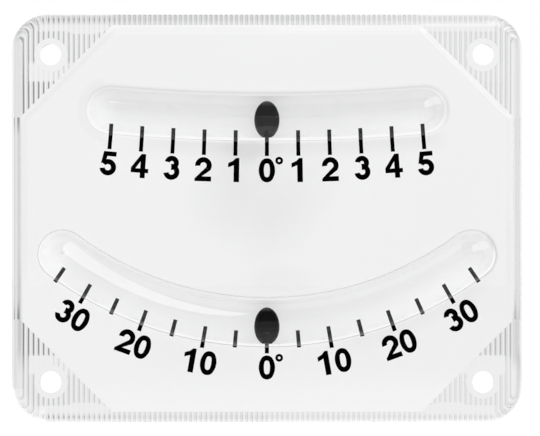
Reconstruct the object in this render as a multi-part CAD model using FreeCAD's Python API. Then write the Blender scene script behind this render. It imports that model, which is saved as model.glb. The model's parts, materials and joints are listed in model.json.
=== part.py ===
import FreeCAD, Part
import math
import os

from FreeCAD import Vector

# A bulkhead inclinometer with two ball tubes. All lengths are in millimetres and all angles in degrees.
# X runs along the face to the right and Z up. Y runs into the wall, so the reader looks along +Y.
# The origin is the centre of the back face. A depth is how far a point stands out from the wall, along -Y.

# Clear moulding: the plate with its rounded front edge
plate_width = 105.0
plate_height = 83.9
plate_corner_radius = 7.4
plate_edge_radius = 1.9

# Raised eight-sided panel on its front, set in from the plate's edges
rim_side_width = 1.7
rim_end_width = 2.15
panel_corner_cut = 19.0
panel_step = 0.7
panel_edge_radius = 1.9
window_skin = 1.4

# Fixing holes, each on a smooth round pad among the ribs of the back
hole_radius = 2.2
hole_inset_x = 8.0
hole_inset_z = 8.25
hole_pad_radius = 3.45

# Upright ribs moulded into the back of the clear rim, with a round flute between each pair
rib_side_land = 2.1
rib_pitch = 1.05
rib_crest_width = 0.1
flute_depth = 0.17

# Ball tubes: half of each bore lies in the moulding and half in the white backing plate
upper_tube_arc_radius = 363.5
lower_tube_arc_radius = 70.55
upper_tube_drop = 18.9
lower_tube_rise = 18.45
upper_tube_side_margin = 13.1
lower_tube_side_margin = 3.3
upper_bore_radius = 3.1
lower_bore_radius = 3.25
bore_floor_wall = 0.7
bulge_wall = 2.0
bulge_foot_radius = 0.5

# Balls, the liquid round them and the clearance on which they roll
ball_diameter = 5.2
ball_floor_clearance = 0.08
liquid_film = 0.02

# White backing plate, the cement bead that seals each tube and the plug of each filling hole
backing_fit = 0.05
seal_land = 1.2
seal_width = 0.7
seal_depth = 0.35
plug_radius = 1.2
plug_fit = 0.01

# Printed scales
ink_thickness = 0.06
tick_width = 0.82
upper_tick_start = 2.85
lower_tick_start = 1.9
upper_tick_tail = 2.65
lower_long_tick_tail = 1.0
lower_short_tick_tail = 0.05
upper_degrees_per_tick = 1.0
lower_degrees_per_tick = 5.0
upper_ticks_per_side = 5
lower_ticks_per_side = 7
lower_ticks_per_number = 2

# Scale numbers
number_height = 4.97
upper_number_gap = 0.45
lower_number_gap = 0.4
digit_pitch = 3.65
degree_ring_radius = 0.8
degree_ring_bore = 0.28
degree_ring_gap = 0.04

# One overrun for every cutting shape
overrun = 0.5

# Worked-out sizes
panel_width = plate_width - 2 * rim_side_width
panel_height = plate_height - 2 * rim_end_width
parting_depth = max(upper_bore_radius, lower_bore_radius) + bore_floor_wall
panel_depth = parting_depth + window_skin
plate_depth = panel_depth - panel_step
bulge_radius = max(upper_bore_radius, lower_bore_radius) + bulge_wall
foot_rise = window_skin + bulge_foot_radius
bulge_half_width = math.sqrt((bulge_radius + bulge_foot_radius) ** 2 - foot_rise ** 2)
ball_radius = ball_diameter / 2

# A turn about this axis carries what hangs below the turning point towards +X
SWING = Vector(0, -1, 0)


class Tube:
    """A ball tube: an arc that sags below its centre, which lies straight above the middle of the plate."""

    def __init__(self, arc_radius, height, side_margin, bore_radius):
        self.arc_radius = arc_radius
        self.bore_radius = bore_radius
        self.centre = Vector(0, 0, height + arc_radius)
        reach = panel_width / 2 - side_margin - bulge_half_width
        self.half_angle = math.degrees(math.asin(reach / arc_radius))
        self.ball_offset = bore_radius - ball_radius - ball_floor_clearance

    def point(self, offset, depth):
        """A point at the middle of the tube, offset outwards from the tube's own arc."""
        return Vector(0, -depth, self.centre.z - self.arc_radius - offset)

    def turned(self, shape, angle):
        """A copy of the shape, swung round the arc's centre towards +X."""
        copy = shape.copy()
        copy.rotate(self.centre, SWING, angle)
        return copy

    def swept(self, face, half_angle):
        """The face carried along the arc to both sides."""
        return self.turned(face, -half_angle).revolve(self.centre, SWING, 2 * half_angle)

    def closed_run(self, sections, end_section):
        """The sections along the whole tube, closed by half a turn of the end section at both ends."""
        parts = [self.swept(section, self.half_angle) for section in sections]
        middle = self.point(0, 0)
        for side in (-1, 1):
            half_turn = end_section.revolve(middle, SWING, side * 180)
            parts.append(self.turned(half_turn, side * self.half_angle))
        return parts[0].fuse(parts[1:]).removeSplitter()


upper_tube = Tube(
    upper_tube_arc_radius, panel_height / 2 - upper_tube_drop, upper_tube_side_margin, upper_bore_radius
)
lower_tube = Tube(
    lower_tube_arc_radius, lower_tube_rise - panel_height / 2, lower_tube_side_margin, lower_bore_radius
)


def face_of(edges):
    """A flat face inside a closed run of edges."""
    return Part.Face(Part.Wire(edges))


def polygon_face(points):
    """A flat face with straight sides."""
    return Part.Face(Part.makePolygon(points + points[:1]))


def prism(points, near_depth, far_depth):
    """A straight-sided solid over an outline of X and Z pairs, between two depths from the wall."""
    face = polygon_face([Vector(x, -near_depth, z) for x, z in points])
    return face.extrude(Vector(0, near_depth - far_depth, 0))


def hole_places():
    """The four fixing holes, as X and Z pairs."""
    reach_x = plate_width / 2 - hole_inset_x
    reach_z = plate_height / 2 - hole_inset_z
    return [(x, z) for x in (-reach_x, reach_x) for z in (-reach_z, reach_z)]


def hole_cylinders(radius, far_depth):
    """A cylinder through each fixing hole's place, from behind the wall plane to a depth."""
    return [
        Part.makeCylinder(radius, far_depth + overrun, Vector(x, overrun, z), SWING)
        for x, z in hole_places()
    ]


def panel_outline(growth):
    """The panel's eight corners, moved outwards by a growth that is the same on every side."""
    half_x = panel_width / 2 + growth
    half_z = panel_height / 2 + growth
    cut = panel_corner_cut + growth * (2 - math.sqrt(2))
    corners = []
    for side_x, side_z in ((1, 1), (1, -1), (-1, -1), (-1, 1)):
        end_corner = (side_x * (half_x - cut), side_z * half_z)
        side_corner = (side_x * half_x, side_z * (half_z - cut))
        pair = [end_corner, side_corner] if side_x == side_z else [side_corner, end_corner]
        corners += pair
    return corners


def plate_blank():
    """The rounded plate up to its rim, with the front edge rolled over."""
    half_x = plate_width / 2
    half_z = plate_height / 2
    straight_x = half_x - plate_corner_radius
    straight_z = half_z - plate_corner_radius
    lying_corner = Vector(-half_x, -plate_depth, -straight_z)
    blank = Part.makeBox(plate_width, plate_depth, 2 * straight_z, lying_corner)
    upright_corner = Vector(-straight_x, -plate_depth, -half_z)
    upright = Part.makeBox(2 * straight_x, plate_depth, plate_height, upright_corner)
    corners = [
        Part.makeCylinder(plate_corner_radius, plate_depth, Vector(x, 0, z), SWING)
        for x in (-straight_x, straight_x)
        for z in (-straight_z, straight_z)
    ]
    blank = blank.fuse([upright] + corners).removeSplitter()
    middle = -plate_depth
    front_edges = [edge for edge in blank.Edges if edge.BoundBox.YMax < middle / 2]
    return blank.makeFillet(plate_edge_radius, front_edges)


def panel_blank():
    """The raised panel. Its rounded edge dips into the plate, and comes out of it at the panel's outline."""
    hidden = panel_edge_radius - math.sqrt(panel_edge_radius ** 2 - (panel_edge_radius - panel_step) ** 2)
    near_depth = panel_depth - panel_edge_radius - panel_step
    blank = prism(panel_outline(hidden), near_depth, panel_depth)
    front_edges = [edge for edge in blank.Edges if edge.BoundBox.YMax < -panel_depth + panel_step / 2]
    return blank.makeFillet(panel_edge_radius, front_edges)


def bulge_section(tube, side_only):
    """The outline of the bulge over a tube, with its hollow foot. For the round ends it is the outer half."""
    share = bulge_radius / (bulge_radius + bulge_foot_radius)
    touch = Vector(bulge_half_width * share, parting_depth + foot_rise * share)
    foot_angle = math.atan2(foot_rise, bulge_half_width)
    half_foot_angle = (foot_angle + math.pi / 2) / 2
    foot_mid = Vector(
        bulge_half_width - bulge_foot_radius * math.cos(half_foot_angle),
        parting_depth + foot_rise - bulge_foot_radius * math.sin(half_foot_angle),
    )
    buried_depth = parting_depth + window_skin / 2
    crest = tube.point(0, parting_depth + bulge_radius)
    shoulder_angle = (foot_angle + math.pi / 2) / 2
    shoulder = Vector(
        bulge_radius * math.cos(shoulder_angle), parting_depth + bulge_radius * math.sin(shoulder_angle)
    )

    def flank(side):
        top_arc = Part.Arc(
            crest, tube.point(side * shoulder.x, shoulder.y), tube.point(side * touch.x, touch.y)
        )
        foot_arc = Part.Arc(
            tube.point(side * touch.x, touch.y),
            tube.point(side * foot_mid.x, foot_mid.y),
            tube.point(side * bulge_half_width, panel_depth),
        )
        foot = tube.point(side * bulge_half_width, panel_depth)
        wall = Part.makeLine(foot, tube.point(side * bulge_half_width, buried_depth))
        return [top_arc.toShape(), foot_arc.toShape(), wall]

    if side_only:
        base = Part.makeLine(tube.point(bulge_half_width, buried_depth), tube.point(0, buried_depth))
        axis_line = Part.makeLine(tube.point(0, buried_depth), crest)
        return face_of(flank(1) + [base, axis_line])
    base = Part.makeLine(
        tube.point(bulge_half_width, buried_depth), tube.point(-bulge_half_width, buried_depth)
    )
    return face_of(flank(1) + [base] + flank(-1)[::-1])


def bulge(tube):
    """The clear bulge that stands over a tube and magnifies it."""
    return tube.closed_run([bulge_section(tube, False)], bulge_section(tube, True))


def bore(tube):
    """The whole space inside a tube, with its round ends."""
    middle = tube.point(0, parting_depth)
    circle = face_of([Part.makeCircle(tube.bore_radius, middle, Vector(1, 0, 0))])
    back = tube.point(0, parting_depth - tube.bore_radius)
    front = tube.point(0, parting_depth + tube.bore_radius)
    side = tube.point(tube.bore_radius, parting_depth)
    half_disc = face_of([Part.Arc(back, side, front).toShape(), Part.makeLine(front, back)])
    return tube.closed_run([circle], half_disc)


def seal_run(tube, growth):
    """A square-cut bead that runs once round a tube, in the face of the backing plate."""
    inner = tube.bore_radius + seal_land - growth
    outer = tube.bore_radius + seal_land + seal_width + growth
    bottom = parting_depth - seal_depth - growth
    sections = []
    for side in (1, -1):
        corners = [(inner, bottom), (outer, bottom), (outer, parting_depth), (inner, parting_depth)]
        sections.append(polygon_face([tube.point(side * offset, depth) for offset, depth in corners]))
    return tube.closed_run(sections, sections[0])


def filler_hole(tube, radius, far_depth):
    """A cylinder from the wall plane into the right-hand end of a tube."""
    start = tube.point(0, 0)
    return tube.turned(Part.makeCylinder(radius, far_depth, start, SWING), tube.half_angle)


def front_window():
    """The clear moulding, with its ribs, holes, front half bores and the pocket for the backing plate."""
    body = plate_blank().fuse(panel_blank())
    body = body.cut(prism(panel_outline(0), -overrun, parting_depth))
    body = body.cut(hole_cylinders(hole_radius, plate_depth + overrun))
    body = body.cut(rib_flutes())
    body = body.fuse([bulge(upper_tube), bulge(lower_tube)])
    return body.cut([bore(upper_tube), bore(lower_tube)]).removeSplitter()


def rib_flutes():
    """The round flutes between the ribs, left out where the pads of the fixing holes lie."""
    half_width = (rib_pitch - rib_crest_width) / 2
    flute_radius = (half_width ** 2 + flute_depth ** 2) / (2 * flute_depth)
    half_height = plate_height / 2 + overrun
    count = round((plate_width - 2 * rib_side_land) / rib_pitch)
    flutes = []
    for number in range(count):
        x = (number - (count - 1) / 2) * rib_pitch
        foot = Vector(x, flute_radius - flute_depth, -half_height)
        flutes.append(Part.makeCylinder(flute_radius, 2 * half_height, foot))
    pads = Part.makeCompound(hole_cylinders(hole_pad_radius, 2 * flute_radius))
    return Part.makeCompound(flutes).cut(pads)


def backing_plate():
    """The white plate behind the panel, with the back half of both bores."""
    plate = prism(panel_outline(-backing_fit), 0, parting_depth)
    tools = []
    for tube in (upper_tube, lower_tube):
        tools.append(bore(tube))
        tools.append(seal_run(tube, plug_fit))
        tools.append(filler_hole(tube, plug_radius + plug_fit, parting_depth))
    return plate.cut(tools).removeSplitter()


def ball(tube):
    """The ball, resting at the lowest point of its tube."""
    return Part.makeSphere(ball_radius, tube.point(tube.ball_offset, parting_depth))


def fluid(tube):
    """The damping liquid that fills a tube round its ball."""
    room = Part.makeSphere(ball_radius + liquid_film, tube.point(tube.ball_offset, parting_depth))
    return bore(tube).cut(room)


def filler_plug(tube):
    """The plug of a filling hole, flush with the back. Its inner end is rounded to follow the bore."""
    return filler_hole(tube, plug_radius, parting_depth).cut(bore(tube))


def tick(tube, start, tail):
    """One printed mark at the middle of a tube. It lies on the bulge's flank, its foot and the panel."""
    foot_angle = math.atan2(foot_rise, bulge_half_width)
    start_angle = math.acos(start / bulge_radius)

    def skin(lift):
        """Points along the mark from its start to its tail, on the surface or lifted off it."""
        radius = bulge_radius + lift
        foot_radius = bulge_foot_radius - lift
        flank_angles = (start_angle, (start_angle + foot_angle) / 2, foot_angle)
        flank = [
            tube.point(radius * math.cos(angle), parting_depth + radius * math.sin(angle))
            for angle in flank_angles
        ]
        half_foot_angle = (foot_angle + math.pi / 2) / 2
        foot_mid = tube.point(
            bulge_half_width - foot_radius * math.cos(half_foot_angle),
            parting_depth + foot_rise - foot_radius * math.sin(half_foot_angle),
        )
        foot = tube.point(bulge_half_width, panel_depth + lift)
        end = tube.point(bulge_half_width + tail, panel_depth + lift)
        edges = [
            Part.Arc(*flank).toShape(),
            Part.Arc(flank[2], foot_mid, foot).toShape(),
            Part.makeLine(foot, end),
        ]
        return edges, flank[0], end

    under, under_start, under_end = skin(0)
    over, over_start, over_end = skin(ink_thickness)
    tail_end = Part.makeLine(under_end, over_end)
    start_end = Part.makeLine(over_start, under_start)
    band = under + [tail_end] + over[::-1] + [start_end]
    middle_radius = tube.arc_radius + (start + bulge_half_width + tail) / 2
    half_angle = math.degrees(tick_width / 2 / middle_radius)
    return tube.swept(face_of(band), half_angle)


def scale_steps(tube, step, ticks_per_side):
    """The numbers of the marks on a scale, counted from its middle, as far as the tube reaches."""
    reach = min(ticks_per_side, int(tube.half_angle / step))
    return range(-reach, reach + 1)


def upper_scale_marks():
    """One mark for each degree of the upper scale."""
    mark = tick(upper_tube, upper_tick_start, upper_tick_tail)
    steps = scale_steps(upper_tube, upper_degrees_per_tick, upper_ticks_per_side)
    return Part.makeCompound([upper_tube.turned(mark, number * upper_degrees_per_tick) for number in steps])


def lower_marks(tail, remainder):
    """The marks of the lower scale that leave a remainder when they are counted in pairs."""
    mark = tick(lower_tube, lower_tick_start, tail)
    steps = scale_steps(lower_tube, lower_degrees_per_tick, lower_ticks_per_side)
    chosen = [number for number in steps if number % lower_ticks_per_number == remainder]
    return Part.makeCompound([lower_tube.turned(mark, number * lower_degrees_per_tick) for number in chosen])


# Digits are drawn in shares of their height. Each stands on its baseline, about its own middle line.
# The angles of a curved stroke run anticlockwise from +X.
stroke_share = 0.215
zero_width_share = 0.68
zero_end_share = 0.28
one_shares = [
    (-0.06, 0), (0.17, 0), (0.17, 1), (0.03, 1), (-0.09, 0.88), (-0.295, 0.785), (-0.295, 0.6), (-0.06, 0.7)
]
two_bowl_share = 0.345
two_hook_angles = (-35, 185)
two_leg_shares = [
    (0.283, 0.457), (-0.055, 0.205), (0.335, 0.205), (0.335, 0), (-0.352, 0), (-0.352, 0.115), (0.106, 0.58)
]
three_upper_share = 0.295
three_lower_share = 0.333
three_upper_angles = (-95, 170)
three_lower_angles = (-170, 95)
four_shares = [
    (-0.365, 0.215), (0.02, 0.215), (0.02, 0), (0.23, 0), (0.23, 0.215), (0.36, 0.215),
    (0.36, 0.395), (0.23, 0.395), (0.23, 1), (0.045, 1), (-0.365, 0.42),
]
four_eye_shares = [(0.02, 0.395), (0.02, 0.69), (-0.175, 0.395)]
five_bowl_share = 0.342
five_bowl_angles = (-170, 145)
five_top_shares = [(-0.21, 1), (0.315, 1), (0.315, 0.803), (-0.055, 0.803), (-0.11, 0.57), (-0.3, 0.485)]
degree_rise_share = 0.9


def ink_prism(shares):
    """A straight-sided piece of a digit, given in shares of the digit's height."""
    points = [(x * number_height, z * number_height) for x, z in shares]
    return prism(points, panel_depth, panel_depth + ink_thickness)


def ink_band(centre_z, outer_share, angles):
    """A curved stroke of a digit: part of a ring about a point on the digit's middle line."""
    outer = outer_share * number_height
    inner = outer - stroke_share * number_height
    centre = Vector(0, -panel_depth, centre_z * number_height)
    lift = Vector(0, -ink_thickness, 0)
    corners = [centre + Vector(inner, 0, 0), centre + Vector(outer, 0, 0)]
    corners += [corners[1] + lift, corners[0] + lift]
    section = polygon_face(corners)
    section.rotate(centre, SWING, angles[0])
    return section.revolve(centre, SWING, angles[1] - angles[0])


def oval_face(half_width, half_height, end_radius):
    """An upright oval of four arcs on the panel's front, with its middle at the origin's height."""
    rise = half_height - end_radius
    side_radius = (half_width ** 2 + rise ** 2 - end_radius ** 2) / (2 * (half_width - end_radius))
    side_centre = side_radius - half_width
    lean = math.atan2(rise, side_centre)
    join_x = end_radius * math.cos(lean)
    join_z = rise + end_radius * math.sin(lean)
    corners = [(join_x, join_z), (-join_x, join_z), (-join_x, -join_z), (join_x, -join_z)]
    middles = [(0, half_height), (-half_width, 0), (0, -half_height), (half_width, 0)]
    edges = []
    for number, middle in enumerate(middles):
        points = [corners[number], middle, corners[(number + 1) % len(corners)]]
        edges.append(Part.Arc(*[Vector(x, -panel_depth, z) for x, z in points]).toShape())
    return face_of(edges)


def zero():
    """An oval ring."""
    half_width = zero_width_share * number_height / 2
    half_height = number_height / 2
    stroke = stroke_share * number_height
    end_radius = zero_end_share * number_height
    inner_end_radius = (half_width - stroke) * end_radius / half_width
    ring = oval_face(half_width, half_height, end_radius)
    ring = ring.cut(oval_face(half_width - stroke, half_height - stroke, inner_end_radius))
    ring.translate(Vector(0, 0, half_height))
    return ring.extrude(Vector(0, -ink_thickness, 0))


def one():
    """A stem with a flag."""
    return ink_prism(one_shares)


def two():
    """A hook over a slanting leg and a foot."""
    hook = ink_band(1 - two_bowl_share, two_bowl_share, two_hook_angles)
    return hook.fuse(ink_prism(two_leg_shares))


def three():
    """Two bowls, both open to the left."""
    upper = ink_band(1 - three_upper_share, three_upper_share, three_upper_angles)
    lower = ink_band(three_lower_share, three_lower_share, three_lower_angles)
    return upper.fuse(lower)


def four():
    """A closed sail over a bar and a stem."""
    return ink_prism(four_shares).cut(ink_prism(four_eye_shares))


def five():
    """A top bar with a short neck, over a bowl open to the left."""
    bowl = ink_band(five_bowl_share, five_bowl_share, five_bowl_angles)
    return bowl.fuse(ink_prism(five_top_shares))


DIGITS = {"0": zero, "1": one, "2": two, "3": three, "4": four, "5": five}


def degree_ring():
    """The small raised ring after the figure 0."""
    centre = Vector(
        zero_width_share * number_height / 2 + degree_ring_gap + degree_ring_radius,
        -panel_depth,
        degree_rise_share * number_height,
    )
    disc = Part.makeCylinder(degree_ring_radius, ink_thickness, centre, SWING)
    return disc.cut(Part.makeCylinder(degree_ring_bore, ink_thickness, centre, SWING))


def scale_numbers(tube, gap, tail, step, steps):
    """The numbers under a scale's marks. Each leans with its own mark."""
    top_offset = bulge_half_width + tail + gap
    baseline = tube.point(top_offset + number_height, 0).z
    pieces = []
    for number in steps:
        text = str(round(abs(number) * step))
        glyphs = []
        for place, character in enumerate(text):
            glyph = DIGITS[character]().removeSplitter()
            glyph.translate(Vector((place - (len(text) - 1) / 2) * digit_pitch, 0, baseline))
            glyphs.append(glyph)
        if number == 0:
            ring = degree_ring()
            ring.translate(Vector(0, 0, baseline))
            glyphs.append(ring)
        pieces += [tube.turned(glyph, number * step) for glyph in glyphs]
    return Part.makeCompound(pieces)


def upper_scale_numbers():
    """A number under every mark of the upper scale."""
    steps = scale_steps(upper_tube, upper_degrees_per_tick, upper_ticks_per_side)
    return scale_numbers(upper_tube, upper_number_gap, upper_tick_tail, upper_degrees_per_tick, steps)


def lower_scale_numbers():
    """A number under every long mark of the lower scale."""
    steps = scale_steps(lower_tube, lower_degrees_per_tick, lower_ticks_per_side)
    chosen = [number for number in steps if number % lower_ticks_per_number == 0]
    return scale_numbers(lower_tube, lower_number_gap, lower_long_tick_tail, lower_degrees_per_tick, chosen)


def build():
    """Every sub-part by its name."""
    return {
        "front_window": front_window(),
        "backing_plate": backing_plate(),
        "upper_ball": ball(upper_tube),
        "lower_ball": ball(lower_tube),
        "upper_fluid": fluid(upper_tube),
        "lower_fluid": fluid(lower_tube),
        "upper_seal": seal_run(upper_tube, 0),
        "lower_seal": seal_run(lower_tube, 0),
        "upper_filler_plug": filler_plug(upper_tube),
        "lower_filler_plug": filler_plug(lower_tube),
        "upper_scale_marks": upper_scale_marks(),
        "upper_scale_numbers": upper_scale_numbers(),
        "lower_scale_long_marks": lower_marks(lower_long_tick_tail, 0),
        "lower_scale_short_marks": lower_marks(lower_short_tick_tail, 1),
        "lower_scale_numbers": lower_scale_numbers(),
    }


os.makedirs("parts", exist_ok=True)
for node, shape in build().items():
    shape.exportStep("parts/" + node + ".step")
    size = shape.BoundBox
    print(node, "solids", len(shape.Solids), "valid", shape.isValid(), "volume", round(shape.Volume, 3))
    print("   x", round(size.XMin, 3), round(size.XMax, 3), "y", round(size.YMin, 3), round(size.YMax, 3))
    print("   z", round(size.ZMin, 3), round(size.ZMax, 3))
for tube in (upper_tube, lower_tube):
    print("tube centre", tube.centre, "half angle", tube.half_angle, "ball offset", tube.ball_offset)
print("parting depth", parting_depth, "panel depth", panel_depth, "bulge half width", bulge_half_width)
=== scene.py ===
import json
import math

import bpy
from bpy.props import FloatProperty, FloatVectorProperty, PointerProperty
from bpy.types import Operator, Panel, PropertyGroup
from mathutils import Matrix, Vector


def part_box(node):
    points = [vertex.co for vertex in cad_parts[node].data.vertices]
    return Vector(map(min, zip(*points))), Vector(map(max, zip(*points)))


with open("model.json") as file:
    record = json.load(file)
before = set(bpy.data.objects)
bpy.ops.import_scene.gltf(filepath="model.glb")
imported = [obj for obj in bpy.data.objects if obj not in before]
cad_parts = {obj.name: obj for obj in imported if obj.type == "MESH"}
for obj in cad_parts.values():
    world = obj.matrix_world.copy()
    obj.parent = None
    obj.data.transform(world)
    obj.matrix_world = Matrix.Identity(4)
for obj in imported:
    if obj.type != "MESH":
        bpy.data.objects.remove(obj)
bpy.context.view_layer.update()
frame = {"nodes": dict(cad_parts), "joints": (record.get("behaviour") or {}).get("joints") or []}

# The finishes, stage, lamp and camera of a bulkhead inclinometer with two ball tubes. Lengths are in metres.
# X runs along its face to the right, Z up and Y into the wall. The reader looks along +Y.

bl_info = {
    "name": "Inclinometer finishes",
    "version": (1, 0, 0),
    "blender": (4, 5, 0),
    "location": "3D View > Sidebar > Inclinometer",
    "description": "Finishes, stage and lamp for a clear bulkhead inclinometer with two ball tubes",
    "category": "Object",
}

MM = 0.001
WHITE = (1.0, 1.0, 1.0, 1.0)


class Tube:
    """Where a ball tube lies, read from the frame: an arc that sags below its centre, with round ends."""

    def __init__(self, joint_name, liquid_name):
        joint = next(joint for joint in frame["joints"] if joint["name"] == joint_name)
        low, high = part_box(liquid_name)
        self.centre_z = joint["pos_m"][2]
        self.bore_radius = (high.y - low.y) / 2
        self.middle_y = (high.y + low.y) / 2
        self.arc_radius = self.centre_z - low.z - self.bore_radius
        self.half_angle = math.asin((high.x - self.bore_radius) / self.arc_radius)


TUBES = (Tube("upper_ball_roll", "upper_fluid"), Tube("lower_ball_roll", "lower_fluid"))
PANEL_LOW, PANEL_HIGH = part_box("backing_plate")
PLATE_LOW, PLATE_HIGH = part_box("front_window")
_, PRINT_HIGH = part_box("lower_scale_numbers")
PANEL_FRONT = PRINT_HIGH.y
RIM_RADIUS = 7.4 * MM
SEAL_LAND = 1.2 * MM
HAIR = 0.01 * MM

# An ejector pin's ring on the back: its middle, and in millimetres its start, full, hold and end.
PIN_X, PIN_Z = 33 * MM, 21 * MM
PIN_RING = (2.4, 2.6, 2.7, 2.9)

# Soft shadows on the panel in millimetres: middle sideways and in height, half sizes and strength.
SHADOWS = ((-4.1, 14.6, 4.4, 3.4, 0.8), (-10.7, 2.8, 7.0, 8.0, 0.2), (2.7, -12.7, 7.0, 3.0, 0.25))


def shade(value):
    """A plain grey with full alpha."""
    return (value, value, value, 1.0)


def raised(colour, share, rise=0.0):
    """A colour times a share, raised by the same amount in each part."""
    return tuple(share * part + rise for part in colour[:3]) + (1.0,)


class Quantity:
    """A node's output, used in sums as if it were a number."""

    def __init__(self, nodes, socket):
        self.nodes = nodes
        self.socket = socket

    def worked(self, operation, *others):
        """This quantity first, and the others after it, through one Math node."""
        values = dict(enumerate((self,) + others))
        return self.nodes.add("ShaderNodeMath", {"operation": operation}, values)

    def behind(self, operation, first):
        """The first value, and this quantity after it, through one Math node."""
        return self.nodes.add("ShaderNodeMath", {"operation": operation}, {0: first, 1: self})

    def __add__(self, other):
        return self.worked("ADD", other)

    def __radd__(self, other):
        return self.behind("ADD", other)

    def __sub__(self, other):
        return self.worked("SUBTRACT", other)

    def __rsub__(self, other):
        return self.behind("SUBTRACT", other)

    def __mul__(self, other):
        return self.worked("MULTIPLY", other)

    def __rmul__(self, other):
        return self.behind("MULTIPLY", other)

    def __truediv__(self, other):
        return self.worked("DIVIDE", other)

    def __rtruediv__(self, other):
        return self.behind("DIVIDE", other)

    def __lt__(self, other):
        return self.worked("LESS_THAN", other)

    def __gt__(self, other):
        return self.worked("GREATER_THAN", other)

    def __abs__(self):
        return self.worked("ABSOLUTE")

    def limited(self, low, high):
        """This quantity, held between two values."""
        return self.worked("MAXIMUM", low).worked("MINIMUM", high)

    def step(self, start, end):
        """0 before the start, 1 past the end and smooth between them. The end may lie below the start."""
        flipped = end < start
        low, high = (end, start) if flipped else (start, end)
        values = {"Value": self, "From Min": low, "From Max": high}
        if flipped:
            values.update({"To Min": 1.0, "To Max": 0.0})
        return self.nodes.add("ShaderNodeMapRange", {"interpolation_type": "SMOOTHSTEP"}, values)

    def within(self, start, full, hold, end, unit=MM):
        """1 from full to hold, 0 outside start and end, smooth between them. Places are in this unit."""
        return self.step(start * unit, full * unit) * self.step(end * unit, hold * unit)


def length_of(*parts):
    """The length of a vector whose parts are quantities."""
    total = parts[0] * parts[0]
    for part in parts[1:]:
        total = total + part * part
    return total.worked("SQRT")


class Nodes:
    """The nodes of a material or of the world."""

    def __init__(self, owner):
        owner.use_nodes = True
        self.tree = owner.node_tree
        self.tree.nodes.clear()

    def add(self, kind, settings=None, values=None, output=0):
        """Adds a node, makes its settings, then fills or links its sockets. Gives one of its outputs."""
        node = self.tree.nodes.new(kind)
        for name, setting in (settings or {}).items():
            setattr(node, name, setting)
        for name, value in (values or {}).items():
            if isinstance(value, Quantity):
                self.tree.links.new(value.socket, node.inputs[name])
            else:
                node.inputs[name].default_value = value
        return Quantity(self, node.outputs[output])

    def vector(self, kind="ShaderNodeTexCoord", output="Object"):
        """A vector that a node gives, and its three parts."""
        whole = self.add(kind, output=output)
        parts = [self.add("ShaderNodeSeparateXYZ", values={0: whole}, output=number) for number in range(3)]
        return whole, parts

    def joined(self, x, y, z):
        """A vector of length 1, in the direction that three parts give."""
        whole = self.add("ShaderNodeCombineXYZ", {}, {0: x, 1: y, 2: z})
        return self.add("ShaderNodeVectorMath", {"operation": "NORMALIZE"}, {0: whole})

    def noise(self, place, scale, detail=2.0, roughness=0.5):
        """Noise about 0.5, with this many features to a metre."""
        values = {"Vector": place, "Scale": scale, "Detail": detail, "Roughness": roughness}
        return self.add("ShaderNodeTexNoise", {}, values)

    def blend(self, factor, first, second):
        """A colour between two colours."""
        return self.add("ShaderNodeMix", {"data_type": "RGBA"}, {0: factor, 6: first, 7: second}, output=2)

    def blend_vector(self, factor, first, second):
        """A vector between two vectors."""
        values = {0: factor, 4: first, 5: second}
        return self.add("ShaderNodeMix", {"data_type": "VECTOR"}, values, output=1)

    def mix_shader(self, factor, first, second):
        """The first shader where the factor is 0 and the second where it is 1."""
        return self.add("ShaderNodeMixShader", {}, {0: factor, 1: first, 2: second})

    def ray(self, kind):
        """1 for rays of one kind and 0 for the others."""
        return self.add("ShaderNodeLightPath", output="Is " + kind + " Ray")

    def clear(self, colour=WHITE):
        """Lets everything through unbent."""
        return self.add("ShaderNodeBsdfTransparent", {}, {"Color": colour})

    def glow(self, colour):
        """Gives off this colour."""
        return self.add("ShaderNodeEmission", {}, {"Color": colour})

    def unshaded(self, shader, for_light):
        """A shader that light from the lamp and from pale surfaces passes in another way."""
        seen = self.mix_shader(self.ray("Diffuse"), shader, for_light)
        return self.mix_shader(self.ray("Shadow"), seen, for_light)

    def bump(self, height, distance, strength=1.0, normal=None):
        """A normal tilted by a height that runs from 0 to 1 over the distance."""
        values = {"Height": height, "Distance": distance, "Strength": strength}
        if normal:
            values["Normal"] = normal
        return self.add("ShaderNodeBump", {}, values)

    def surface(self, shader):
        """Ends the tree in this shader."""
        self.add_end("ShaderNodeOutputMaterial", shader)

    def background(self, shader):
        """Ends the world's tree in this shader."""
        self.add_end("ShaderNodeOutputWorld", shader)

    def add_end(self, kind, shader):
        end = self.tree.nodes.new(kind)
        self.tree.links.new(shader.socket, end.inputs["Surface"])


def finish_of(name):
    """A new material and its empty tree."""
    material = bpy.data.materials.new(name)
    return material, Nodes(material)


def dress(node_names, material):
    """Puts a material on the slots of CAD nodes."""
    for name in node_names:
        piece = frame["nodes"][name]
        for slot in piece.material_slots:
            slot.material = material


def let_light_past(node_names):
    """Keeps CAD nodes from casting shadows on what lies round them and from colouring it."""
    for name in node_names:
        piece = frame["nodes"][name]
        piece.visible_diffuse = False
        piece.visible_shadow = False


def shrink(node_name, distance):
    """Draws a CAD node's faces in by a hair, so that none lies in the same plane as its neighbour's."""
    hair = frame["nodes"][node_name].modifiers.new("hair_gap", "DISPLACE")
    hair.mid_level = 0.0
    hair.strength = -distance


def tube_offset(place, tube):
    """How far right, into the wall and down a place lies from the nearest point of a tube's middle line."""
    x, y, z = place
    drop = tube.centre_z - z
    angle = x.worked("ARCTAN2", drop).limited(-tube.half_angle, tube.half_angle)
    right = x - angle.worked("SINE") * tube.arc_radius
    down = drop - angle.worked("COSINE") * tube.arc_radius
    return right, y - tube.middle_y, down


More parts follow.
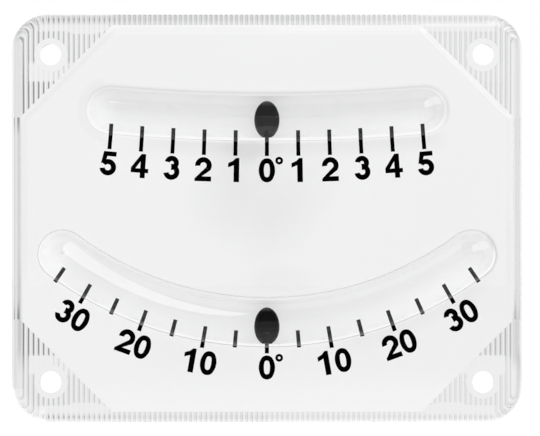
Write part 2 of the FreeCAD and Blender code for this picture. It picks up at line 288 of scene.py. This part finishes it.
def bulge_normal(nodes, y, offsets, foot_radius):
    """The true normal on the bulges' round flanks and feet, and the mesh's own elsewhere.

    Also says what lies on the feet, and how far painted shade darkens the steep flanks.
    """
    turned = 1 - 2 * nodes.add("ShaderNodeNewGeometry", output="Backfacing")
    normal = nodes.add("ShaderNodeNewGeometry", output="Normal")
    on_feet, steep_flank_shade = 0.0, 0.0
    for (right, deep, down), tube, flank_shade_weight in zip(offsets, TUBES, (1.0, 0.3)):
        bulge_radius = tube.middle_y - PLATE_LOW.y
        foot_rise = tube.middle_y - PANEL_FRONT + foot_radius
        foot_reach = math.sqrt((bulge_radius + foot_radius) ** 2 - foot_rise ** 2)
        touch = foot_reach * bulge_radius / (bulge_radius + foot_radius)
        distance = length_of(right, deep, down)
        on_flank = (distance > bulge_radius - 0.2 * MM) * (distance < bulge_radius + HAIR)
        reach = length_of(right, down)
        on_foot = (reach > touch) * (reach < foot_reach + 2 * HAIR) * (y < PANEL_FRONT + HAIR)
        outwards = nodes.joined(right * turned, deep * turned, 0.0 - down * turned)
        normal = nodes.blend_vector(on_flank, normal, outwards)
        inwards = (foot_reach - reach).limited(0, 1) / reach * turned
        hollow = nodes.joined(right * inwards, (0.0 - foot_rise - deep) * turned, 0.0 - down * inwards)
        normal = nodes.blend_vector(on_foot, normal, hollow)
        near_foot = (reach > touch) * (reach < foot_reach + 12 * HAIR) * (y < PANEL_FRONT + HAIR)
        on_feet = near_foot + on_feet
        # Painted shade on the steep flanks: full above a bulge's middle, fading below it, weaker on the lower
        # tube.
        steep = flank_shade_weight * on_flank * reach.step(4.4 * MM, 4.95 * MM) * down.step(6 * MM, -3 * MM)
        steep_flank_shade = steep + steep_flank_shade
    return normal, on_feet, steep_flank_shade


class ClearLook(PropertyGroup):
    """The clear moulding."""

    tint: FloatVectorProperty(
        name="Tint", description="Colour that the clear moulding gives to what is seen through it",
        subtype="COLOR", size=4, min=0.0, max=1.0, default=(0.985, 0.99, 0.99, 1.0),
    )
    index: FloatProperty(
        name="Refractive index", description="How strongly the clear moulding bends light",
        min=1.0, max=2.0, default=1.49,
    )
    corner_cut: FloatProperty(
        name="Corner cut", description="How much of each corner the eight-sided panel leaves out",
        unit="LENGTH", min=0.0, default=0.019,
    )
    # Painted shade: the plate's edges are tinted darker in set stretches with this colour.
    edge_shade_tint: FloatVectorProperty(
        name="Edge tint", description="Colour that the plate's thick edges give where they are dark",
        subtype="COLOR", size=4, min=0.0, max=1.0, default=(0.45, 0.455, 0.455, 1.0),
    )
    panel_step: FloatProperty(
        name="Panel step", description="How far the eight-sided panel stands above the rim",
        unit="LENGTH", min=0.0, default=0.0007,
    )
    panel_edge_roughness: FloatProperty(
        name="Panel edge roughness", description="Roughness of the panel's rolled edge",
        subtype="FACTOR", min=0.0, max=1.0, default=0.16,
    )
    foot_radius: FloatProperty(
        name="Foot radius", description="Radius of the hollow foot round each bulge",
        unit="LENGTH", min=0.0, default=0.0005,
    )
    # Painted shade: this tint darkens the steep flanks of the bulges, most on their upper side.
    flank_shade_tint: FloatVectorProperty(
        name="Flank tint", description="Colour that the steep flanks of the bulges give",
        subtype="COLOR", size=4, min=0.0, max=1.0, default=(0.74, 0.745, 0.745, 1.0),
    )
    hole_z: FloatProperty(
        name="Hole height",
        description="How far the fixing holes lie above or below the plate's middle",
        unit="LENGTH", min=0.0, default=0.0337,
    )
    lamp_share: FloatProperty(
        name="Light let through",
        description="Share of the lamp's light that the clear moulding lets through",
        subtype="FACTOR", min=0.0, max=1.0, default=0.94,
    )


class WhiteLook(PropertyGroup):
    """The white plastic of the backing plate and the plugs."""

    colour: FloatVectorProperty(
        name="Colour", description="Colour of the white plastic",
        subtype="COLOR", size=4, min=0.0, max=1.0, default=(0.87, 0.87, 0.87, 1.0),
    )
    # Painted light: this colour lightens the panel along its edges, under the bulges' lower sides and in the
    # bores.
    painted_light_colour: FloatVectorProperty(
        name="Edge colour", description="Colour of the white plastic where more light comes in",
        subtype="COLOR", size=4, min=0.0, max=1.0, default=(0.945, 0.945, 0.945, 1.0),
    )
    # Painted light: the half bores are made lighter than the plate, as by the light that the bulges gather.
    lightened_bore_colour: FloatVectorProperty(
        name="Bore colour", description="Colour of the polished half bores",
        subtype="COLOR", size=4, min=0.0, max=1.0, default=(0.9, 0.9, 0.9, 1.0),
    )
    bore_shade: FloatVectorProperty(
        name="Bore shade", description="Colour of a half bore's upper wall and of other faint shade",
        subtype="COLOR", size=4, min=0.0, max=1.0, default=(0.805, 0.805, 0.805, 1.0),
    )
    end_shade: FloatVectorProperty(
        name="End shade", description="Colour of the panel in a soft shadow and under a bulge's right end",
        subtype="COLOR", size=4, min=0.0, max=1.0, default=(0.74, 0.74, 0.74, 1.0),
    )
    bore_light: FloatVectorProperty(
        name="Bore light", description="Colour of a half bore's lower wall and left end, where light gathers",
        subtype="COLOR", size=4, min=0.0, max=1.0, default=(0.97, 0.97, 0.97, 1.0),
    )
    grain: FloatProperty(
        name="Grain size", description="Width of one grain of the moulded texture",
        unit="LENGTH", min=0.0, default=0.0003,
    )
    hair_gap: FloatProperty(
        name="Hair gap", description="How far the plate's faces are drawn in from its neighbours",
        unit="LENGTH", min=0.0, default=0.00001,
    )


class BallLook(PropertyGroup):
    """The two balls and the liquid round them."""

    colour: FloatVectorProperty(
        name="Colour", description="Colour of the balls",
        subtype="COLOR", size=4, min=0.0, max=1.0, default=(0.001, 0.001, 0.001, 1.0),
    )
    # Painted light: the balls' undersides take this lighter colour, as lit by the pale bore below.
    underside: FloatVectorProperty(
        name="Underside", description="Colour of a ball's underside, lit by the pale bore below it",
        subtype="COLOR", size=4, min=0.0, max=1.0, default=(0.009, 0.009, 0.0093, 1.0),
    )
    # Painted sheen: the upper ball's black is lifted towards grey by this much.
    wear_and_sheen: FloatProperty(
        name="Worn", description="How much greyer the upper ball is than the lower one",
        min=0.0, max=0.1, default=0.0135,
    )
    light_past: FloatProperty(
        name="Light past a ball", description="Share of the light that gets past each side of a ball",
        subtype="FACTOR", min=0.0, max=1.0, default=0.9,
    )
    liquid_tint: FloatVectorProperty(
        name="Liquid tint", description="Colour that one face of the liquid gives to what is behind it",
        subtype="COLOR", size=4, min=0.0, max=1.0, default=(0.99, 0.993, 0.99, 1.0),
    )


class PrintLook(PropertyGroup):
    """The printed marks and numbers."""

    black: FloatVectorProperty(
        name="Full black", description="Colour of the print on the flat panel",
        subtype="COLOR", size=4, min=0.0, max=1.0, default=(0.0008, 0.0008, 0.0008, 1.0),
    )
    thin: FloatVectorProperty(
        name="Thin black", description="Colour of the print on the slope of a bulge",
        subtype="COLOR", size=4, min=0.0, max=1.0, default=(0.026, 0.026, 0.027, 1.0),
    )
    wear_and_sheen: FloatVectorProperty(
        name="Worn black", description="Colour of the print where a mark crosses the foot of a bulge",
        subtype="COLOR", size=4, min=0.0, max=1.0, default=(0.22, 0.22, 0.22, 1.0),
    )


class StudioLook(PropertyGroup):
    """The camera, the lamp and the stage."""

    camera_distance: FloatProperty(
        name="Camera distance", description="Distance from the wall plane to the camera",
        unit="LENGTH", min=0.1, default=2.0,
    )
    view_width: FloatProperty(
        name="View width", description="Width that the camera sees at the object",
        unit="LENGTH", min=0.01, default=0.11135,
    )
    backdrop: FloatProperty(
        name="Backdrop seen through", description="Brightness of what is seen through the clear rim",
        min=0.0, max=1.0, default=0.88,
    )
    fill: FloatProperty(
        name="Fill light", description="Brightness of the even light from all round",
        min=0.0, max=2.0, default=0.95,
    )
    window: FloatProperty(
        name="Window", description="Brightness of the window that the bulges mirror",
        min=0.0, max=10.0, default=3.0,
    )


def clear_moulding_finish(look):
    """Clear plastic, polished. It doesn't bend light where liquid, cement or the white plate touches it."""
    material, nodes = finish_of("polished_clear_plastic")
    place, (x, y, z) = nodes.vector()
    offsets = [tube_offset((x, y, z), tube) for tube in TUBES]
    wetted = [length_of(*offset) < tube.bore_radius + SEAL_LAND for offset, tube in zip(offsets, TUBES)]
    edge = 0.1 * MM
    in_plane = abs(y - PANEL_LOW.y) < 2 * HAIR
    in_width = abs(x) < PANEL_HIGH.x + edge
    in_height = abs(z) < PANEL_HIGH.z + edge
    in_corner = abs(x) + abs(z) < PANEL_HIGH.x + PANEL_HIGH.z - look.corner_cut + 2 * edge
    bonded = (in_plane * in_width * in_height * in_corner + wetted[0] + wetted[1]).limited(0, 1)
    normal, on_feet, steep_flank_shade = bulge_normal(nodes, y, offsets, look.foot_radius)
    on_panel_edge = (y > PANEL_FRONT + 2 * HAIR) * (y < PANEL_FRONT + look.panel_step - 2 * HAIR)
    unbent = (y > -0.3 * MM) * rib_fade(look, x, z) + pale_rims(x, z)
    unbent = unbent + 0.95 * on_feet + 0.5 * on_panel_edge * (x > 0) * (z > 0)
    # Painted shade darkens set stretches of the plate's edges.
    tint = nodes.blend(painted_edge_shade(x, y, z), look.tint, look.edge_shade_tint)
    # Painted shade darkens the steep flanks, most on the upper tube's upper side.
    tint = nodes.blend(steep_flank_shade, tint, look.flank_shade_tint)
    flow = nodes.noise(place, 60.0, 3.0)
    glass = nodes.add(
        "ShaderNodeBsdfPrincipled", {},
        {
            "Base Color": tint,
            "IOR": look.index, "Transmission Weight": 1.0,
            "Roughness": look.panel_edge_roughness * on_panel_edge,
            "Normal": nodes.bump(flow, 0.004 * MM, normal=normal),
        },
    )
    lamp_path = nodes.clear(shade(look.lamp_share))
    see_through = nodes.mix_shader(unbent.limited(0, 1), nodes.unshaded(glass, lamp_path), nodes.clear())
    nodes.surface(nodes.mix_shader(bonded, see_through, nodes.clear()))
    return material


def painted_edge_shade(x, y, z):
    """How far painted shade darkens the plate's edges: left, low on the right and faintly in the left half of
    the top.
    """
    left = x.within(-51.6, -51.0, -50.8, -50.2)
    left = left * (0.3 + 0.3 * z.step(21 * MM, 17 * MM) + 0.4 * z.step(-5 * MM, -19 * MM))
    left = left * (0.2 + 0.8 * z.step(-33 * MM, -25 * MM))
    right = 0.55 * x.within(50.3, 50.7, 51.8, 52.2) * z.within(-32, -28, -21, -17)
    top = 0.12 * z.step(39.5 * MM, 39.9 * MM) * x.step(-5 * MM, -25 * MM)
    return ((left + right + top) * (y < -2 * MM)).limited(0, 1)


def rib_fade(look, x, z):
    """How far the ribbed back is shown unbent, so that its ribs fade out: by each hole, along the long rims
    and in the lower corners.
    """
    aside, off = abs(x), abs(z)
    inner = (off - look.hole_z).within(-5.8, -5.2, -2.2, -1.0) * aside.step(49.3 * MM, 48.8 * MM)
    inner = inner * (0.55 + 0.35 * aside.step(43 * MM, 45 * MM)) * (1 - 0.8 * (x > 0) * (z > 0))
    dip = 0.6 * MM * aside.within(33, 36, 39.5, 41.5) * (1 - (x > 0) * (z > 0))
    strip = (off + dip).step(38.3 * MM, 38.8 * MM) * off.step(40.3 * MM, 39.9 * MM)
    strip = 0.8 * strip * aside.within(30, 34, 46, 48)
    lower = z.step(-28 * MM, -29 * MM) * (0.1 + 0.25 * (x > 0))
    return (inner + strip + lower).limited(0, 0.95)


def pale_rims(x, z):
    """How far the rim is washed out along the bottom, on the right and in the right half of the top."""
    past_x = (abs(x) - PLATE_HIGH.x + RIM_RADIUS).worked("MAXIMUM", 0.0)
    past_z = (PLATE_LOW.z + RIM_RADIUS - z).worked("MAXIMUM", 0.0)
    bottom = 0.6 * length_of(past_x, past_z).step(RIM_RADIUS - 1.2 * MM, RIM_RADIUS + 0.3 * MM)
    bottom = bottom * z.step(-30 * MM, -37 * MM)
    corner = (x < 0) * (past_x > 0.5 * MM) * (past_z > 0.5 * MM)
    arc = corner * length_of(past_x, past_z).step(3.9 * MM, 6.4 * MM)
    right = 0.35 * x.step(51.2 * MM, 51.7 * MM) * z.step(-30 * MM, -26 * MM)
    top = 0.4 * z.within(39.3, 39.8, 40.6, 41.0) * x.step(-10 * MM, 44 * MM)
    return bottom + right + top + 0.3 * arc


def white_finish(look, name, share):
    """Satin white plastic. Its back is toned down by a share, and its front mirrors too. Light and shade are
    painted on its front and in its half bores.
    """
    material, nodes = finish_of(name)
    place, (x, y, z) = nodes.vector()
    front = y < PANEL_LOW.y + 0.05 * MM
    grain = nodes.noise(place, 1 / look.grain, 3.0)
    cloud = nodes.noise(place, 40.0, 3.0)
    colour = nodes.blend(cloud.step(0.3, 0.7), look.colour, raised(look.colour, 0.993))
    plain = nodes.blend(cloud.step(0.4, 0.65), raised(look.colour, share), raised(look.colour, 0.965 * share))
    pin_mark = length_of(abs(x) - PIN_X, abs(z) - PIN_Z).within(*PIN_RING) * (y > -5 * HAIR)
    # Painted shade: the pin ring's hollow is darkened with the bore shade.
    plain = nodes.blend(0.6 * pin_mark, plain, look.bore_shade)
    # Painted light along the panel's top, its lower left and its bottom, and painted shade on its right.
    top_light = z.step(PANEL_HIGH.z - 2.2 * MM, PANEL_HIGH.z - 1.2 * MM)
    colour = nodes.blend(0.6 * top_light, colour, look.painted_light_colour)
    right_shade = 0.2 * x.step(5 * MM, 40 * MM) * z.step(-22 * MM, -12 * MM)
    colour = nodes.blend(right_shade, colour, look.bore_shade)
    left_light = 0.3 * x.step(-12 * MM, -42 * MM) * z.within(-37, -29, -16, -6)
    colour = nodes.blend(left_light, colour, look.painted_light_colour)
    bottom_light = 0.55 * z.step(-29 * MM, -37.5 * MM)
    colour = nodes.blend(bottom_light, colour, look.painted_light_colour)
    # Painted soft shadows, darkening the panel to the end shade.
    for middle_x, middle_z, half_x, half_z, depth in SHADOWS:
        aside = (x - middle_x * MM) / (half_x * MM)
        off = (z - middle_z * MM) / (half_z * MM)
        colour = nodes.blend(depth * length_of(aside, off).step(1.3, 0.3), colour, look.end_shade)
    in_bores = 0.0
    # Painted shade round each bulge: a cast shadow below it, and shade along its upper side, under its right
    # end and round its left end. Painted light under its lower side and left end.
    for tube, shading, cast_start in zip(TUBES, (1.0, 0.3), (-34 * MM, 6 * MM)):
        right, deep, down = tube_offset((x, y, z), tube)
        outwards = length_of(x, tube.centre_z - z) - tube.arc_radius
        reach = length_of(right, down)
        end_x = tube.arc_radius * math.sin(tube.half_angle)
        right_end_shade = x.step(end_x + 3 * MM * shading, end_x + (3 + 2.5 * shading) * MM)
        left_end_light = x.step(2.5 * MM - end_x, -1.5 * MM - end_x) * outwards.step(-2.5 * MM, 0.5 * MM)
        left_rim_shade = reach.within(4.4, 5.2, 6.2, 7.2) * x.step(-end_x, -2 * MM - end_x)
        under_bulge = reach.step(5.8 * MM, 5.0 * MM)
        inside = reach.step(5.3 * MM, 4.7 * MM)
        upper_side_shade = outwards.step(-1.8 * MM, -3.3 * MM) * shading
        lower_side_light = outwards.step(0.6 * MM, 2.6 * MM)
        cast = outwards.within(4.2, 5.2, 5.2, 9.5) * (1 - under_bulge)
        cast = cast * x.step(cast_start, cast_start + 18 * MM) * x.step(end_x + 6 * MM, end_x)
        colour = nodes.blend((0.2 + 0.5 * shading) * cast, colour, look.end_shade)
        colour = nodes.blend(under_bulge * upper_side_shade, colour, look.bore_shade)
        colour = nodes.blend(under_bulge * right_end_shade, colour, raised(look.end_shade, 0.86 + 0.14 * shading))
        colour = nodes.blend(inside * (left_end_light + lower_side_light).limited(0, 1), colour, look.painted_light_colour)
        colour = nodes.blend(0.6 * shading * left_rim_shade, colour, look.bore_shade)
        # Painted light and shade in each half bore: shade on its upper wall, light on its lower wall and at
        # its left end.
        in_bore = length_of(right, deep, down) < tube.bore_radius + 0.06 * MM
        in_bores = in_bore + in_bores
        upper_wall_shade = outwards.step(2.4 * MM, -3.0 * MM) * shading
        upper_wall_shade = upper_wall_shade * (1 - 0.6 * x.step(end_x - 4 * MM, end_x + MM))
        lower_light = (x.step(5 * MM, 36 * MM) + 0.7 * shading * x.step(0.0, -20 * MM)).limited(0, 1)
        lower_light = lower_light * outwards.step(-0.5 * MM, 2.0 * MM)
        bore = nodes.blend(upper_wall_shade, look.lightened_bore_colour, look.bore_shade)
        bore = nodes.blend(outwards.step(0.8 * MM, 2.8 * MM) * 0.5 * (1 + shading), bore, look.painted_light_colour)
        bore = nodes.blend(lower_light, bore, look.bore_light)
        colour = nodes.blend(in_bore, colour, nodes.blend(left_end_light, bore, look.bore_light))
    nodes.surface(nodes.add(
        "ShaderNodeBsdfPrincipled", {},
        {
            "Base Color": nodes.blend((front + in_bores).limited(0, 1), plain, colour),
            "Roughness": 0.42 + 0.12 * grain, "IOR": 1.5,
            "Coat Weight": front, "Coat Roughness": 0.0, "Coat IOR": 1.5,
            "Normal": nodes.bump(grain - 3 * pin_mark, 0.01 * MM, 0.5),
        },
    ))
    return material


def cement_finish():
    """Cured clear cement over the white plate, faintly milky with small bubbles."""
    material, nodes = finish_of("cured_clear_cement")
    place, _ = nodes.vector()
    bubbles = nodes.add("ShaderNodeTexVoronoi", {}, {"Vector": place, "Scale": 1400.0})
    body = nodes.add(
        "ShaderNodeBsdfPrincipled", {},
        {
            "Base Color": nodes.blend(bubbles.step(0.1, 0.4), shade(0.86), shade(0.92)),
            "Roughness": 0.25 + 0.2 * bubbles,
        },
    )
    cement = nodes.mix_shader(0.4 + 0.2 * nodes.noise(place, 300.0), nodes.clear(), body)
    nodes.surface(nodes.unshaded(cement, nodes.clear()))
    return material


def liquid_finish(look):
    """Clear liquid that bends light as the moulding does, with a faint tint."""
    material, nodes = finish_of("clear_damping_liquid")
    place, _ = nodes.vector()
    swirl = nodes.noise(place, 90.0, 3.0).step(0.35, 0.65)
    nodes.surface(nodes.mix_shader(swirl, nodes.clear(look.liquid_tint), nodes.clear()))
    return material


def ball_finish(look, name, wear_and_sheen):
    """Black plastic, polished, with faint mottling. A grey lift painted on the upper ball stands in for
    sheen, and every underside is painted lighter, as lit by the pale bore below.
    """
    material, nodes = finish_of(name)
    place, _ = nodes.vector()
    mottle = nodes.noise(place, 1800.0, 3.0).step(0.35, 0.7)
    _, (_, _, facing_up) = nodes.vector("ShaderNodeNewGeometry", "Normal")
    # Painted sheen lifts the upper ball's mottled black, and painted light lightens each ball's underside.
    colour = nodes.blend(mottle, raised(look.colour, 1.0, wear_and_sheen), raised(look.colour, 2.0, 1.2 * wear_and_sheen))
    colour = nodes.blend(facing_up.step(-0.42, -0.46), colour, raised(look.underside, 1.0, 2.2 * wear_and_sheen))
    ball = nodes.add(
        "ShaderNodeBsdfPrincipled", {},
        {
            "Base Color": colour,
            "Roughness": 0.2 + 0.1 * mottle, "Specular IOR Level": 0.02,
        },
    )
    nodes.surface(nodes.unshaded(ball, nodes.clear(shade(look.light_past))))
    return material


def print_finish(look, name, wear):
    """Printing ink: full black on the flat panel, blotchy on a bulge's slope and greyed by wear at its foot.
    """
    material, nodes = finish_of(name)
    place, (_, y, _) = nodes.vector()
    rise = PANEL_FRONT - y
    blotch = nodes.noise(place, 1600.0, 3.0).step(0.35, 0.65)
    slope = nodes.blend(blotch, look.thin, raised(look.thin, 1.9))
    slope = nodes.blend(wear * rise.step(2.3 * MM, 0.1 * MM) * (0.6 + 0.4 * blotch), slope, look.wear_and_sheen)
    colour = nodes.blend(rise.step(0.08 * MM, 0.2 * MM), look.black, slope)
    ink = nodes.add(
        "ShaderNodeBsdfPrincipled", {},
        {"Base Color": colour, "Roughness": 0.55 + 0.15 * blotch, "Specular IOR Level": 0.0},
    )
    nodes.surface(nodes.unshaded(ink, nodes.clear()))
    return material


def looks():
    """The settings of this scene."""
    return bpy.context.scene.inclinometer


class INCLINOMETER_OT_clear_moulding(Operator):
    """Finishes the clear moulding"""

    bl_idname = "inclinometer.clear_moulding"
    bl_label = "Clear moulding"

    def execute(self, context):
        dress(["front_window"], clear_moulding_finish(looks().clear))
        return {"FINISHED"}


class INCLINOMETER_OT_backing_plate(Operator):
    """Finishes the white backing plate and its filler plugs"""

    bl_idname = "inclinometer.backing_plate"
    bl_label = "Backing plate and plugs"

    def execute(self, context):
        look = looks().white
        plugs = ["upper_filler_plug", "lower_filler_plug"]
        dress(["backing_plate"], white_finish(look, "satin_white_plastic", 1.0))
        dress(plugs, white_finish(look, "satin_white_plug", 0.9))
        shrink("backing_plate", look.hair_gap)
        let_light_past(plugs)
        return {"FINISHED"}


class INCLINOMETER_OT_seals(Operator):
    """Finishes the cement bead round each tube"""

    bl_idname = "inclinometer.seals"
    bl_label = "Cement beads"

    def execute(self, context):
        dress(["upper_seal", "lower_seal"], cement_finish())
        for name in ("upper_seal", "lower_seal"):
            shrink(name, looks().white.hair_gap)
        return {"FINISHED"}


class INCLINOMETER_OT_liquid(Operator):
    """Finishes the liquid in both tubes"""

    bl_idname = "inclinometer.liquid"
    bl_label = "Damping liquid"

    def execute(self, context):
        liquids = ["upper_fluid", "lower_fluid"]
        dress(liquids, liquid_finish(looks().ball))
        let_light_past(liquids)
        return {"FINISHED"}


class INCLINOMETER_OT_balls(Operator):
    """Finishes the two balls"""

    bl_idname = "inclinometer.balls"
    bl_label = "Balls"

    def execute(self, context):
        look = looks().ball
        dress(["upper_ball"], ball_finish(look, "black_ball_greyed", look.wear_and_sheen))
        dress(["lower_ball"], ball_finish(look, "black_ball", 0.0))
        return {"FINISHED"}


class INCLINOMETER_OT_print(Operator):
    """Finishes the printed marks and numbers"""

    bl_idname = "inclinometer.print"
    bl_label = "Printed scales"

    def execute(self, context):
        look = looks().print
        upper = [name for name in frame["nodes"] if name.startswith("upper_scale")]
        lower = [name for name in frame["nodes"] if name.startswith("lower_scale")]
        dress(upper, print_finish(look, "printed_black_ink", 0.25))
        dress(lower, print_finish(look, "printed_black_ink_worn", 0.9))
        return {"FINISHED"}


def sheet(name, corners, material):
    """A flat sheet of the stage, given by its four corners."""
    mesh = bpy.data.meshes.new(name)
    mesh.from_pydata([Vector(corner) for corner in corners], [], [(0, 1, 2, 3)])
    mesh.materials.append(material)
    piece = bpy.data.objects.new(name, mesh)
    bpy.context.scene.collection.objects.link(piece)
    return piece


def floor_finish():
    """Plain pale floor. It is white to the camera, and keeps its shadows."""
    material, nodes = finish_of("pale_floor")
    _, (_, y, _) = nodes.vector()
    body = nodes.add("ShaderNodeBsdfDiffuse", {}, {"Color": shade(0.8)})
    lift = nodes.glow(nodes.blend(nodes.ray("Camera"), shade(0.0), shade(0.5)))
    lit = nodes.add("ShaderNodeAddShader", {}, {0: body, 1: lift})
    lit = nodes.mix_shader(nodes.ray("Diffuse"), lit, nodes.glow(shade(1.09)))
    tone = nodes.blend(y.step(-56 * MM, -46 * MM), shade(0.42), shade(0.6))
    nodes.surface(nodes.mix_shader(nodes.ray("Glossy"), lit, nodes.glow(tone)))
    material.cycles.emission_sampling = "NONE"
    return material


def shade_sheet_finish():
    """A see-through sheet of painted shade, which darkens what the clear rim shows beyond the plate's sides.
    """
    material, nodes = finish_of("shade_sheet_behind")
    place, (x, _, z) = nodes.vector()
    patches = 0.55 + 0.45 * nodes.noise(place, 45.0, 2.0).step(0.4, 0.6)
    left = x.step(-50 * MM, -60 * MM) * x.step(-88 * MM, -80 * MM) * abs(z).step(17 * MM, 21 * MM)
    left = left * (0.35 + 0.65 * z.step(-34 * MM, -29 * MM))
    right = x.step(52 * MM, 63 * MM) * x.step(92 * MM, 84 * MM)
    low = z.step(-33 * MM, -28 * MM) * z.step(-14 * MM, -20 * MM)
    shaded = nodes.mix_shader(patches * left, nodes.clear(), nodes.clear(shade(0.33)))
    shaded = nodes.mix_shader(low * right, shaded, nodes.clear(shade(0.3)))
    nodes.surface(nodes.mix_shader(patches * right, shaded, nodes.clear(shade(0.8))))
    return material


def lamp(name, direction, distance, width, height, power):
    """A soft rectangular lamp that faces the object."""
    light = bpy.data.lights.new(name, "AREA")
    light.shape = "RECTANGLE"
    light.size = width
    light.size_y = height
    light.energy = power
    piece = bpy.data.objects.new(name, light)
    bpy.context.scene.collection.objects.link(piece)
    piece.location = direction.normalized() * distance
    piece.rotation_mode = "QUATERNION"
    piece.rotation_quaternion = direction.to_track_quat("Z", "Y")
    piece.visible_camera = False
    piece.visible_glossy = False
    piece.visible_transmission = False
    return piece


def towards(side, height):
    """The direction in front of the object at these angles to the right and up, in degrees."""
    side, height = math.radians(side), math.radians(height)
    return Vector((math.sin(side) * math.cos(height), -math.cos(side) * math.cos(height), math.sin(height)))


def surroundings(look):
    """Light from all round. The camera sees plain white, and mirrors see a pale room with a window."""
    world = bpy.data.worlds.new("studio")
    bpy.context.scene.world = world
    nodes = Nodes(world)
    _, (x, y, z) = nodes.vector(output="Generated")
    even = nodes.blend(z.step(-0.6, 0.6), shade(look.fill * 1.12), shade(look.fill * 0.88))
    ahead = 0.0 - y
    mirrored = nodes.blend(ahead.step(0.7, 0.45), shade(0.14), shade(1.05))
    patch = length_of(x, z).step(0.045, 0.034) * (y < 0)
    mirrored = nodes.blend(patch, mirrored, shade(0.92))
    aside = abs(x + 0.0002) / 0.0062
    dark_middle = length_of(0.8 * aside, (z - 0.0006) / 0.0062 - 0.45 * aside).step(1.25, 0.0)
    dark_above = length_of((x + 0.0024) / 0.0036, (z - 0.0072) / 0.0046).step(1.3, 0.4)
    patch = patch * (dark_middle + dark_above).limited(0, 1)
    mirrored = nodes.blend(patch, mirrored, shade(0.02))
    left_edge = x - 0.035 * ahead
    pane = left_edge.step(0.0, 0.004) * (z - 0.12 * ahead - 0.35 * x).step(0.0, 0.01)
    pane = pane * (z - 0.75 * ahead - 1.1 * x).step(0.0, -0.02) * y.step(0.2, 0.1)
    mirrored = nodes.blend(pane, mirrored, shade(look.window))
    aslant = abs(x).step(0.03, 0.2)
    # Each band has the part of the direction, its start, full, hold and end, where it applies and its tone.
    dark_bands = (
        (x, -0.02, -0.35, -0.43, -0.47, 1.0, 0.74),
        (x, 0.05, 0.35, 0.44, 0.5, 1.0, 0.84),
        (z, -0.03, -0.3, -1.0, -1.1, 1.0, 0.95),
        (z, -0.03, -0.3, -1.0, -1.1, aslant, 0.82),
        (z, 0.01, 0.14, 0.35, 0.5, aslant, 0.9),
    )
    beyond = look.backdrop
    for part, start, full, hold, end, where, tone in dark_bands:
        band = part.within(start, full, hold, end, 1.0) * where
        beyond = beyond * (1 - (1 - tone) * band)
    beyond = beyond * (1 - 0.95 * patch)
    colour = nodes.blend(nodes.ray("Glossy"), even, mirrored)
    colour = nodes.blend(nodes.ray("Transmission"), colour, beyond)
    colour = nodes.blend(nodes.ray("Camera"), colour, WHITE)
    nodes.background(nodes.add("ShaderNodeBackground", {}, {"Color": colour, "Strength": 1.0}))


class INCLINOMETER_OT_stage(Operator):
    """Sets up the floor, the sheet of painted shade behind, the lamp and the camera"""

    bl_idname = "inclinometer.stage"
    bl_label = "Stage, lamp and camera"

    def execute(self, context):
        look = looks().studio
        floor_z = PLATE_LOW.z - 0.1 * MM
        reach = 4.0
        around = ((-1, -1), (1, -1), (1, 1), (-1, 1))
        floor = sheet("floor", [(reach * x, reach * y, floor_z) for x, y in around], floor_finish())
        floor.visible_transmission = False
        # The sheet of painted shade behind is seen only through the clear moulding.
        far, side = 60 * MM, 400 * MM
        shade_sheet = sheet("shade_sheet_behind", [(side * x, far, side * z) for x, z in around], shade_sheet_finish())
        shade_sheet.visible_camera = False
        shade_sheet.visible_diffuse = False
        shade_sheet.visible_glossy = False
        shade_sheet.visible_shadow = False
        surroundings(look)
        lamp("softbox", towards(22, 30), distance=1.0, width=1.0, height=0.75, power=1.9)
        self.place_camera(context, look)
        context.scene.view_settings.view_transform = "Standard"
        return {"FINISHED"}

    @staticmethod
    def place_camera(context, look):
        """A camera square to the face. The plate's middle lies a little off the picture's middle."""
        data = bpy.data.cameras.new("camera")
        data.lens = data.sensor_width * look.camera_distance / look.view_width
        data.clip_end = 20.0
        camera = bpy.data.objects.new("camera", data)
        context.scene.collection.objects.link(camera)
        aside, above = 0.64 * MM, 0.08 * MM
        camera.location = (aside, -look.camera_distance, above)
        camera.rotation_euler = (math.pi / 2, 0.0, 0.0)
        context.scene.camera = camera


class InclinometerLook(PropertyGroup):
    """All the settings of the inclinometer's looks."""

    clear: PointerProperty(type=ClearLook)
    white: PointerProperty(type=WhiteLook)
    ball: PointerProperty(type=BallLook)
    print: PointerProperty(type=PrintLook)
    studio: PointerProperty(type=StudioLook)


STEPS = (
    INCLINOMETER_OT_clear_moulding,
    INCLINOMETER_OT_backing_plate,
    INCLINOMETER_OT_seals,
    INCLINOMETER_OT_liquid,
    INCLINOMETER_OT_balls,
    INCLINOMETER_OT_print,
    INCLINOMETER_OT_stage,
)


class INCLINOMETER_PT_steps(Panel):
    """Lists the steps that finish the inclinometer"""

    bl_idname = "INCLINOMETER_PT_steps"
    bl_label = "Inclinometer"
    bl_space_type = "VIEW_3D"
    bl_region_type = "UI"
    bl_category = "Inclinometer"

    def draw(self, context):
        for step in STEPS:
            self.layout.operator(step.bl_idname)


SETTINGS = (ClearLook, WhiteLook, BallLook, PrintLook, StudioLook, InclinometerLook)
CLASSES = SETTINGS + STEPS + (INCLINOMETER_PT_steps,)


def register():
    for kind in CLASSES:
        bpy.utils.register_class(kind)
    bpy.types.Scene.inclinometer = PointerProperty(type=InclinometerLook)


def unregister():
    del bpy.types.Scene.inclinometer
    for kind in reversed(CLASSES):
        bpy.utils.unregister_class(kind)


def main():
    """Finishes every piece in order."""
    register()
    bpy.ops.inclinometer.clear_moulding()
    bpy.ops.inclinometer.backing_plate()
    bpy.ops.inclinometer.seals()
    bpy.ops.inclinometer.liquid()
    bpy.ops.inclinometer.balls()
    bpy.ops.inclinometer.print()
    bpy.ops.inclinometer.stage()


if __name__ == "__main__":
    main()
